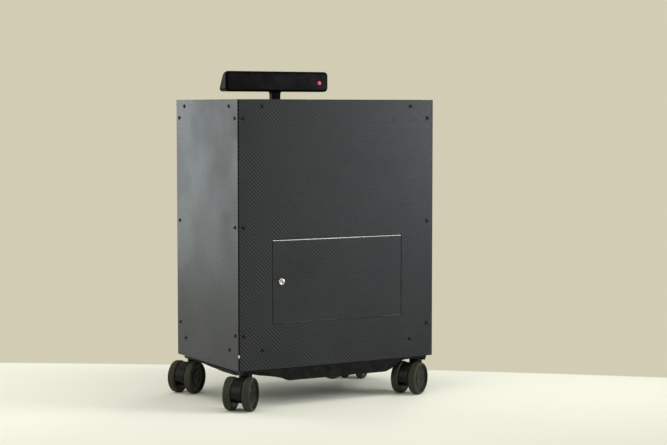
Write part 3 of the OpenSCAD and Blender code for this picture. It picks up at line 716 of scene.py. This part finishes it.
def lamp_cap():
    """Red moulded cap, with a painted glow that makes it brighter at its crown."""
    f = Finish("lamp_cap", IOR=1.5, Coat_Weight=0.2, Coat_Roughness=0.08)
    w, colour = f.w, finish().lamp
    low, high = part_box("sensor_lamp")
    # Painted glow: the cap's colour is painted brighter towards its crown, standing in for the
    # light of the lit lamp.
    painted_glow = w.scale(w.parts(f.coords)[1], 1.0, 0.0, low.y, low.y + 1.4 * MM)
    uneven = w.noise(f.coords, 700.0, 2.0)
    f.set("Base Color", w.blend(w.times(painted_glow, w.scale(uneven, 0.8, 1.0)),
                                rgba(colour, 0.6), rgba(colour, 1.35)))
    f.set("Roughness", w.scale(uneven, 0.22, 0.34))
    return f.material


def board_mask():
    """Solder mask with copper tracks under it, and dark parts that stand on it."""
    f = Finish("board_mask", IOR=1.5)
    w, colour = f.w, finish().board
    grid = w.out("TexBrick", {
        "Vector": f.coords, "Scale": 90.0, "Mortar Size": 0.035, "Color1": rgba(colour, 0.8),
        "Color2": rgba(colour, 1.2), "Mortar": rgba(colour, 2.1)})
    parts_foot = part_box("control_board")[0].z + 6.7 * MM
    parts_mask = w.maths("GREATER_THAN", w.parts(f.coords)[2], parts_foot)
    dark = w.blend(w.noise(f.coords, 120.0), (0.012, 0.012, 0.012, 1), (0.035, 0.035, 0.036, 1))
    f.set("Base Color", w.blend(parts_mask, grid, dark))
    f.set("Roughness", w.scale(w.noise(f.coords, 300.0), 0.3, 0.5))
    return f.material


# ---- finishes shared by pieces ----


def cut_core():
    return plain_plastic("panel_core", finish().core, 0.5, 1500.0, 0.02 * MM)


def chipped_core():
    """Blackened edge of the left panel, with a painted glint near its front foot."""
    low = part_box("left_panel")[0]
    return plain_plastic("chipped_core", finish().dark_core, 0.5, 1500.0, 0.02 * MM,
                         specular=0.08, glint_spot=(low.x + 1.2 * MM, low.y, low.z + 22 * MM))


def blackened_steel():
    return plain_plastic("blackened_steel", (0.005, 0.005, 0.005), 0.4, 2500.0, 0.008 * MM,
                         specular=0.2)


def tyre_rubber(name, colour, dust_share):
    return plain_plastic(name, colour, 0.62, 1400.0, 0.03 * MM, dust_top=0.06,
                         dust_share=dust_share, specular=0.2)


# ---- operators ----


class ROBOT_OT_panels(bpy.types.Operator):
    """Body panels: film on their faces and a dark core on their cut edges"""

    bl_idname = "robot.panels"
    bl_label = "Body panels"

    def execute(self, context):
        for node, turn, axis, dull in (
                ("front_panel", FRONT_TURN, 1, 0.0), ("rear_panel", FRONT_TURN, 1, 0.0),
                ("left_panel", SIDE_TURN, 0, 0.0), ("right_panel", SIDE_TURN, 0, 0.0),
                ("top_panel", TOP_TURN, 2, 0.3)):
            obj = soften(merged_copy(node, node + "_faced"), sizes().panel_edge)
            obj.data.materials.append(film("film_" + node, turn, node, dull))
            obj.data.materials.append(chipped_core() if node == "left_panel" else cut_core())
            for face in obj.data.polygons:
                face.material_index = 0 if abs(face.normal[axis]) > 0.4 else 1
            dress(obj, None, "chassis", "carbon_panel", node)
        return {"FINISHED"}


class ROBOT_OT_door(bpy.types.Operator):
    """Door leaf with film on its face and a bare chamfer along its upper edge"""

    bl_idname = "robot.door"
    bl_label = "Service door"

    def execute(self, context):
        low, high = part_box("door_leaf")
        low.z -= sizes().sill
        leaf = add_box("door_leaf_faced", low, high)

        def front(edge):
            return middle(edge).y < low.y + MM

        edit(leaf)
        choose(leaf, "EDGE", lambda e: along(e, 0) and middle(e).z > high.z - MM and front(e))
        bpy.ops.mesh.bevel(offset=sizes().door_chamfer, segments=1)
        choose(leaf, "EDGE", lambda e: along(e, 1) or (along(e, 2) and front(e)))
        bpy.ops.mesh.bevel(offset=0.3 * MM, segments=2)
        leave()
        barrel_low, barrel_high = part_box("lock_barrel")
        centre = (barrel_low + barrel_high) / 2
        centre.y = (low.y + high.y) / 2
        combine(leaf, add_disc("hole", centre, 4.55 * MM, 8 * MM, "Y"))
        shade(leaf)
        bare = worked_metal("bare_edge", finish().bare_edge, 0.45, (1.0, 40.0, 40.0), metallic=0.3)
        for material in (film("film_door", FRONT_TURN, "door_leaf"), cut_core(), bare):
            leaf.data.materials.append(material)
        for face in leaf.data.polygons:
            flat = 0 if abs(face.normal.y) > 0.4 else 1
            face.material_index = 2 if face.normal.z > 0.4 else flat
        dress(leaf, None, "door", "carbon_panel", "door_leaf")
        return {"FINISHED"}


class ROBOT_OT_lock(bpy.types.Operator):
    """Cam lock: domed flange, threaded barrel, nut and the plug's cam"""

    bl_idname = "robot.lock"
    bl_label = "Door lock"

    def execute(self, context):
        place = pivot_of("lock_turn")
        crest, root, pitch, bore_radius, tail = 4.45, 4.15, 0.42, 2.95, -6.45
        thread = []
        for i in range(9):
            thread += [(crest, -2.6 - pitch * i), (root, -2.81 - pitch * i)]
        profile = [(bore_radius, tail), (bore_radius, 0.85), (3.2, 1.12), (3.9, 1.15)]
        profile += bend(4.0, 0.2, 0.96, 80, 0, 4) + [(4.97, 0.12), (4.97, 0), (crest, 0)]
        profile += thread + [(4.3, tail), (bore_radius, tail)]
        lean = Matrix.Translation(place) @ Matrix.Rotation(math.radians(90), 4, "X")
        barrel = move(turned("lock_barrel_turned", profile), lean)
        behind = place + Vector((0, 4 * MM, 0))
        nut = soften(add_disc("lock_nut", behind, 7.5 * MM, 3 * MM, "Y", 6), 0.3 * MM)
        combine(nut, add_disc("bore", behind, 4.2 * MM, 5 * MM, "Y"))
        barrel = shade(join("lock_barrel_turned", nut, barrel), 40)
        plated = worked_metal("plated_lock", finish().lock, 0.2, (8.0, 8.0, 8.0), spread=0.06)
        dress(barrel, plated, "door", "chrome", "lock_barrel")
        cam = soften(merged_copy("lock_cam", "lock_plug_cam"), 0.15 * MM)
        steel = worked_metal("plug_steel", (0.66, 0.65, 0.61), 0.28, (10.0, 10.0, 10.0))
        dress(cam, steel, "lock", "chrome", "lock_cam")
        return {"FINISHED"}


class ROBOT_OT_screws(bpy.types.Operator):
    """Button-head and flush screws with hexagon sockets"""

    bl_idname = "robot.screws"
    bl_label = "Panel screws"

    def execute(self, context):
        tip = [(0, -7.5), (1.15, -7.5), (1.5, -7.1)]
        button = [(1.5, 0), (2.85, 0), (2.85, 0.3), (2.72, 0.75), (2.4, 1.15), (1.95, 1.42),
                  (1.55, 1.56), (1.35, 1.6), (0, 1.6)]
        flush = [(1.5, -1.3), (2.72, -0.12), (2.65, 0), (0, 0)]
        for node, head, rise, socket in (("panel_screws", button, HEAD_RISE, 1.15 * MM),
                                         ("top_screws", flush, 0, 1.0 * MM)):
            model = turned("screw_model", tip + head, 24)
            combine(model, add_disc("socket", (0, 0, rise), socket, 2 * MM, "Z", 6))
            shade(model, 50)
            screws = self.copies(context, model, node, rise)
            dress(screws, blackened_steel(), "chassis", "black_screw", node)
        return {"FINISHED"}

    @staticmethod
    def copies(context, model, node, head):
        """One copy of the model at each screw of a CAD node, its head pointing out of the body."""
        islands = merged_copy(node, "screw_places")
        edit(islands)
        bpy.ops.mesh.separate(type="LOOSE")
        leave()
        core = (CAD_BOX[0] + CAD_BOX[1]) / 2
        copies = []
        for island in list(context.selected_objects):
            columns = list(zip(*(vertex.co for vertex in island.data.vertices)))
            low, high = Vector(map(min, columns)), Vector(map(max, columns))
            axis = max(range(3), key=lambda k: high[k] - low[k])
            side = 1 if (low[axis] + high[axis]) / 2 > core[axis] else -1
            base = (low + high) / 2
            base[axis] = (high[axis] - head) if side > 0 else (low[axis] + head)
            out = Vector((0, 0, 0))
            out[axis] = side
            turn = out.to_track_quat("Z", "Y").to_matrix().to_4x4()
            spun = Matrix.Rotation(math.radians(37 * len(copies) % 60), 4, "Z")
            copies.append(copy_mesh(model, "screw", Matrix.Translation(base) @ turn @ spun))
            bpy.data.objects.remove(island)
        bpy.data.objects.remove(model)
        return join(node + "_turned", *copies)


class ROBOT_OT_belly_pan(bpy.types.Operator):
    """Formed pan under the body, with a lip at each end"""

    bl_idname = "robot.belly_pan"
    bl_label = "Belly pan"

    def execute(self, context):
        pan = merged_copy("belly_pan", "belly_pan_formed")
        low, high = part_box("belly_pan")
        thick, inset = 5 * MM, 2 * MM
        for side in (-1, 1):
            reach = sorted((side * high.x, side * (high.x - thick)))
            lip = add_box("lip", (reach[0], low.y + inset, high.z - sizes().pan_lip),
                          (reach[1], high.y - inset, high.z - MM))
            combine(pan, lip, "UNION")
        soften(pan, sizes().pan_edge, 3, 38)
        skin = plain_plastic("formed_pan", finish().pan, 0.42, 700.0, 0.02 * MM, specular=0.03)
        dress(pan, skin, "chassis", "pan_plastic", "belly_pan")
        return {"FINISHED"}


class ROBOT_OT_casters(bpy.types.Operator):
    """Twin-wheel casters: hood, stepped hubs and rounded tyres, copied to each corner"""

    bl_idname = "robot.casters"
    bl_label = "Casters"

    def execute(self, context):
        hood, hub, tyre = self.hood(), self.hub(), self.tyre()
        hood_black = plain_plastic("hood_plastic", finish().hood, 0.32, 1600.0, 0.02 * MM,
                                   dust_top=0.045, dust_share=0.01, specular=0.15)
        hub_black = plain_plastic("hub_plastic", finish().hub, 0.36, 1600.0, 0.02 * MM,
                                  dust_share=0.01, specular=0.16)
        rubber = tyre_rubber("caster_rubber_worn", finish().tyre, 0.08)
        for corner in CORNERS:
            pivot = pivot_of("swivel_" + corner)
            axle = pivot_of("roll_" + corner)
            heading = math.atan2(axle.y - pivot.y, axle.x - pivot.x)
            place = (Matrix.Translation((pivot.x, pivot.y, 0))
                     @ Matrix.Rotation(heading, 4, "Z"))
            caster, wheels = "caster_" + corner, "wheels_" + corner
            for model, ending, material, body, slot, node in (
                    (hood, "_hood", hood_black, caster, "caster_plastic", "_body"),
                    (hub, "_discs", hub_black, wheels, "caster_hub", "_hubs"),
                    (tyre, "_treads", rubber, wheels, "caster_rubber", "_tyres")):
                dress(copy_mesh(model, caster + ending, place), material, body, slot,
                      caster + node)
        for model in (hood, hub, tyre):
            bpy.data.objects.remove(model)
        return {"FINISHED"}

    def hood(self):
        """Fender disc over a narrower core, with the neck rising from its front."""
        centre = (TRAIL, 0, AXLE_RISE)
        fender = add_disc("fender", centre, 23.6 * MM, 16 * MM, "Y", 96)
        edit(fender)
        select_all()
        bpy.ops.mesh.bisect(plane_co=(0, 0, sizes().hood_front), plane_no=(0, 0, 1),
                            clear_inner=True, use_fill=True)
        leave()
        core = add_disc("core", centre, 14.2 * MM, 15 * MM, "Y")
        neck = add_disc("neck", (0, 0, 42.2 * MM), 10 * MM, 20 * MM)
        web = add_box("web", (-8.6 * MM, -7.9 * MM, 31 * MM), (20 * MM, 7.9 * MM, 43.5 * MM))
        edit(web)
        choose(web, "EDGE", lambda e: along(e, 1) and middle(e).z < 32 * MM and middle(e).x < 0)
        bpy.ops.transform.translate(value=(3.0 * MM, 0, 1.5 * MM))
        leave()
        hood = join("hood_model", core, neck, web, fender)
        apply(hood, "REMESH", mode="VOXEL", voxel_size=0.55 * MM)
        apply(hood, "SMOOTH", factor=0.5, iterations=7)
        apply(hood, "DECIMATE", ratio=0.3)
        pick(hood)
        bpy.ops.object.shade_smooth()
        return hood

    def pair(self, name, profile):
        """Two turned pieces facing outwards on the axle."""
        sides = []
        for face in (1, -1):
            turn = Matrix.Rotation(math.radians(-90 * face), 4, "X")
            lift = Matrix.Translation((TRAIL, face * WHEEL_FOOT, AXLE_RISE))
            sides.append(move(turned(name, profile, 72), lift @ turn))
        return shade(join(name, *sides), 42)

    def hub(self):
        profile = [(0, 0.2), (18.5, 0.2), (21.45, 0.6), (21.45, 10.4)]
        profile += bend(20.95, 10.4, 0.5, 0, 90, 3) + [(19.6, 10.9)]
        profile += bend(19.4, 10.4, 0.5, 90, 160, 3) + [(18.4, 9.75), (13.7, 9.65), (13.1, 10.05)]
        profile += bend(12.3, 10.1, 0.5, 20, 90, 3) + [(8.6, 10.6)]
        profile += bend(8.3, 10.2, 0.4, 90, 170, 3)
        return self.pair("hub_model", profile + [(7.4, 9.95), (3.6, 9.9), (3.3, 10.25), (0, 10.4)])

    def tyre(self):
        shoulder, rounding, foot = 21.95, 2.98, (21.4, -0.28)
        profile = [foot] + bend(shoulder, 2.7, rounding, -90, -8, 8) + [(24.95, 5.95)]
        profile += bend(shoulder, 9.2, rounding, 8, 90, 8) + [(21.4, 12.18), foot]
        return self.pair("tyre_model", profile)


class ROBOT_OT_sensor_bar(bpy.types.Operator):
    """Sensor bar: sloped housing, gloss window, lamp cap, and its upright and foot"""

    bl_idname = "robot.sensor_bar"
    bl_label = "Sensor bar"

    def execute(self, context):
        case = plain_plastic("housing_plastic", finish().housing, 0.3, 1800.0, 0.012 * MM,
                             "sensor_housing", rub_tone=3.0, specular=0.02)
        dress(self.housing(), case, "sensor_bar", "sensor_plastic", "sensor_housing")
        dress(self.window(), window_gloss(), "sensor_bar", "window_gloss", "sensor_window")
        dress(self.lamp(), lamp_cap(), "sensor_bar", "lamp_red", "sensor_lamp")
        for node, width in (("sensor_neck", 0.7 * MM), ("sensor_foot", 0.4 * MM)):
            piece = soften(merged_copy(node, node + "_moulded"), width, 3)
            dress(piece, case, "chassis", "sensor_plastic", node)
        return {"FINISHED"}

    def housing(self):
        low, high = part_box("sensor_housing")
        centre, crown_depth, recess = (low + high) / 2, 10.5 * MM, 1.2 * MM
        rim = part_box("sensor_window")[0].x - low.x - 0.15 * MM
        housing = add_box("sensor_housing_moulded", low, high)
        edit(housing)
        choose(housing, "EDGE", lambda e: along(e, 0) and middle(e).z > high.z - MM
               and middle(e).y > low.y + MM)
        bpy.ops.transform.translate(value=(0, low.y + crown_depth - high.y, 0))
        choose(housing, "EDGE", lambda e: not along(e, 0)
               and abs(middle(e).z - centre.z) > 10 * MM)
        bpy.ops.mesh.bevel(offset=sizes().bar_corner, segments=8)
        choose(housing, "FACE", lambda f: f.normal.y < -0.99)
        bpy.ops.mesh.inset(thickness=rim, depth=0)
        bpy.ops.mesh.extrude_region_move(TRANSFORM_OT_translate={"value": (0, recess, 0)})
        choose(housing, "EDGE", lambda e: self.outline(e, low))
        bpy.ops.mesh.bevel(offset=sizes().bar_edge, segments=5)
        leave()
        tilt, half_width, half_depth = pivot_of("sensor_tilt"), 14 * MM, 8 * MM
        notch = add_box("notch", (-half_width, tilt.y - half_depth, low.z - 2 * MM),
                        (half_width, tilt.y + half_depth, tilt.z + 6.4 * MM))
        return shade(combine(housing, notch), 30)

    def window(self):
        low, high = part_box("sensor_window")
        window = add_box("sensor_window_gloss", low, high)
        edit(window)
        choose(window, "EDGE", lambda e: along(e, 1))
        bpy.ops.mesh.bevel(offset=3.8 * MM, segments=6)
        choose(window, "EDGE", lambda e: middle(e).y < low.y + 0.1 * MM and not along(e, 1))
        bpy.ops.mesh.bevel(offset=0.35 * MM, segments=3)
        leave()
        return shade(window, 30)

    def lamp(self):
        low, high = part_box("sensor_lamp")
        radius, foot, rounding = (high.z - low.z) / 2 / MM, -4.2, 1.6
        dome = [(0, foot), (radius, foot), (radius, -0.55)]
        dome += bend(radius - rounding, -rounding, rounding, 40, 90, 5) + [(0, 0)]
        lean = Matrix.Translation(((low.x + high.x) / 2, low.y, (low.z + high.z) / 2))
        cap = turned("sensor_lamp_cap", dome, 48)
        return shade(move(cap, lean @ Matrix.Rotation(math.radians(90), 4, "X")), 50)

    @staticmethod
    def outline(edge, low):
        """Edges round the housing's ends and long sides, away from the window's recess."""
        if len(edge.link_faces) != 2 or edge.calc_face_angle(0) < math.radians(35):
            return False
        centre = middle(edge)
        box_low, box_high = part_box("sensor_window")
        in_window = all(box_low[k] - MM < centre[k] < box_high[k] + MM for k in (0, 2))
        return not (centre.y < low.y + 2.5 * MM and in_window)


class ROBOT_OT_drive(bpy.types.Operator):
    """Drive tyres, guard roller, and the metal of the drive and the stems"""

    bl_idname = "robot.drive"
    bl_label = "Drive unit"

    def execute(self, context):
        drive_rubber = tyre_rubber("drive_rubber_worn", (0.03, 0.03, 0.026), 0.1)
        roller_rubber = tyre_rubber("roller_rubber_worn", (0.02, 0.02, 0.019), 0.1)
        for node, material, body, slot in (
                ("drive_tyre_left", drive_rubber, "drive_wheel_left", "drive_rubber"),
                ("drive_tyre_right", drive_rubber, "drive_wheel_right", "drive_rubber"),
                ("guard_roller", roller_rubber, "roller", "roller_rubber")):
            dress(shade(merged_copy(node, node + "_moulded")), material, body, slot, node)
        refinish(blackened_steel(), "caster_stems")
        refinish(worked_metal("motor_case", (0.36, 0.36, 0.37), 0.36, (6.0, 30.0, 30.0)),
                 "drive_hub_left", "drive_hub_right", "lift_motor")
        refinish(worked_metal("bearing_bronze", (0.52, 0.34, 0.16), 0.35, (12.0, 12.0, 12.0)),
                 "carriage_bushes", "carriage_nut")
        return {"FINISHED"}


class ROBOT_OT_inside(bpy.types.Operator):
    """Frame, shelf, battery, computer and board behind the door"""

    bl_idname = "robot.inside"
    bl_label = "Inner works"

    def execute(self, context):
        refinish(worked_metal("anodised_frame", finish().aluminium, 0.42, (40.0, 40.0, 1.5)),
                 "base_plate", "corner_posts", "frame_rails", "equipment_shelf", "lift_bridge",
                 "lift_carriage")
        refinish(worked_metal("bright_steel", (0.50, 0.50, 0.49), 0.3, (20.0, 20.0, 4.0)),
                 "hinge_frame_arms", "hinge_door_leaves", "hinge_pins", "guide_rods",
                 "lead_screw", "drive_axles", "guard_roller_pin", "sensor_tilt_pin",
                 *("caster_" + corner + "_axle" for corner in CORNERS))
        sleeve = plain_plastic("shrink_sleeve", finish().sleeve, 0.28, 260.0, 0.12 * MM,
                               "battery_pack", spread=0.1, rub_tone=1.6)
        battery = soften(merged_copy("battery_pack", "battery_sleeved"), 2.2 * MM, 4)
        dress(battery, sleeve, "chassis", "battery_sleeve", "battery_pack")
        case = worked_metal("computer_case", (0.10, 0.10, 0.105), 0.45, (30.0, 2.0, 30.0))
        computer = soften(merged_copy("computer_box", "computer_case_finned"), 0.6 * MM)
        dress(computer, case, "chassis", "computer_case", "computer_box")
        refinish(board_mask(), "control_board")
        refinish(plain_plastic("lens_glass", (0.012, 0.012, 0.02), 0.08, 900.0, 0.002 * MM),
                 "sensor_lenses")
        return {"FINISHED"}


class ROBOT_OT_stage(bpy.types.Operator):
    """Pale table and backdrop, soft lamps and the camera"""

    bl_idname = "robot.stage"
    bl_label = "Stage"

    def execute(self, context):
        stage = context.scene.robot_stage
        self.ground(stage)
        self.backdrop(context, stage)
        cool, plain = (0.86, 0.95, 1.0), (1.0, 1.0, 1.0)
        self.lamp("key_lamp", (-2.4, -0.5, 1.5), 1.8, stage.key, plain)
        self.lamp("side_lamp", (-1.15, 1.6, 0.66), 1.3, stage.side, cool)
        self.lamp("fill_lamp", (0.95, -0.74, 0.56), 0.6, stage.fill, cool, 62)
        self.lamp("back_lamp", (1.6, 1.35, 0.55), 0.8, stage.back, plain)
        self.lamp("top_lamp", (0.15, -0.5, 2.6), 1.8, stage.top, plain)
        self.camera(context, stage)
        context.scene.view_settings.view_transform = "Standard"
        return {"FINISHED"}

    def ground(self, stage):
        deselect()
        bpy.ops.mesh.primitive_plane_add(size=30)
        floor = bpy.context.object
        floor.name = "table"
        material = bpy.data.materials.new("pale_table")
        w = emptied(material)
        coords = w.node("TexCoord").outputs["Object"]
        reach = w.node("VectorMath", {0: coords, 1: TABLE_CENTRE}, operation="DISTANCE")
        table = w.scale(reach.outputs["Value"], 1.0, 0.0, *TABLE_END)
        mottled = w.blend(w.noise(coords, 5.0), rgba(stage.ground, 0.985),
                          rgba(stage.ground, 1.01))
        pale = w.out("BsdfDiffuse", {"Color": mottled})
        far_lit = w.out("BsdfDiffuse", {"Color": rgba(stage.wall)})
        far_seen = w.out("Emission", {"Color": rgba(stage.wall), "Strength": 1.0})
        far = w.out("MixShader", {0: w.seen(), 1: far_lit, 2: far_seen})
        w.node("OutputMaterial", {0: w.out("MixShader", {0: table, 1: far, 2: pale})})
        floor.data.materials.append(material)

    def backdrop(self, context, stage):
        world = bpy.data.worlds.new("pale_room")
        context.scene.world = world
        w = emptied(world)
        wall = w.out("Background", {"Color": rgba(stage.wall), "Strength": 1.0})
        soft = w.out("Background", {"Color": (0.9, 0.93, 0.97, 1), "Strength": 0.6})
        w.node("OutputWorld", {0: w.out("MixShader", {0: w.seen(), 1: soft, 2: wall})})

    def lamp(self, name, place, size, power, colour, spread=180):
        data = bpy.data.lights.new(name, "AREA")
        data.shape, data.size, data.energy, data.color = "SQUARE", size, power, colour
        data.spread = math.radians(spread)
        lamp = bpy.data.objects.new(name, data)
        lamp.location = place
        aim = Vector(LAMP_AIM) - Vector(place)
        lamp.rotation_euler = aim.to_track_quat("-Z", "Y").to_euler()
        lamp.visible_camera = False
        bpy.context.scene.collection.objects.link(lamp)

    def camera(self, context, stage):
        data = bpy.data.cameras.new("camera")
        data.sensor_width = 36
        data.lens = stage.lens
        camera = bpy.data.objects.new("camera", data)
        target = Vector(CAMERA_TARGET)
        back, left = math.cos(stage.azimuth), math.sin(stage.azimuth)
        camera.location = target + Vector((-left * CAMERA_DISTANCE, -back * CAMERA_DISTANCE,
                                           CAMERA_RISE))
        aim = (target - camera.location).to_track_quat("-Z", "Y")
        camera.rotation_euler = aim.to_euler()
        bpy.context.scene.collection.objects.link(camera)
        context.scene.camera = camera


STEPS = (ROBOT_OT_panels, ROBOT_OT_door, ROBOT_OT_lock, ROBOT_OT_screws, ROBOT_OT_belly_pan,
         ROBOT_OT_casters, ROBOT_OT_sensor_bar, ROBOT_OT_drive, ROBOT_OT_inside, ROBOT_OT_stage)


class ROBOT_PT_looks(bpy.types.Panel):
    """Lists the robot's sizes, colours and steps"""

    bl_idname = "ROBOT_PT_looks"
    bl_label = "Robot looks"
    bl_space_type = "VIEW_3D"
    bl_region_type = "UI"
    bl_category = "Robot"

    def draw(self, context):
        scene = context.scene
        for settings in (scene.robot_sizes, scene.robot_finish, scene.robot_stage):
            box = self.layout.box()
            for name in settings.__annotations__:
                box.prop(settings, name)
        for step in STEPS:
            self.layout.operator(step.bl_idname)


CLASSES = (RobotFinish, RobotSizes, RobotStage) + STEPS + (ROBOT_PT_looks,)


def register():
    for cls in CLASSES:
        bpy.utils.register_class(cls)
    bpy.types.Scene.robot_finish = PointerProperty(type=RobotFinish)
    bpy.types.Scene.robot_sizes = PointerProperty(type=RobotSizes)
    bpy.types.Scene.robot_stage = PointerProperty(type=RobotStage)


def unregister():
    for name in ("robot_finish", "robot_sizes", "robot_stage"):
        delattr(bpy.types.Scene, name)
    for cls in reversed(CLASSES):
        bpy.utils.unregister_class(cls)


def main():
    register()
    bpy.ops.robot.panels()
    bpy.ops.robot.door()
    bpy.ops.robot.lock()
    bpy.ops.robot.screws()
    bpy.ops.robot.belly_pan()
    bpy.ops.robot.casters()
    bpy.ops.robot.sensor_bar()
    bpy.ops.robot.drive()
    bpy.ops.robot.inside()
    bpy.ops.robot.stage()
    deselect()


if __name__ == "__main__":
    main()
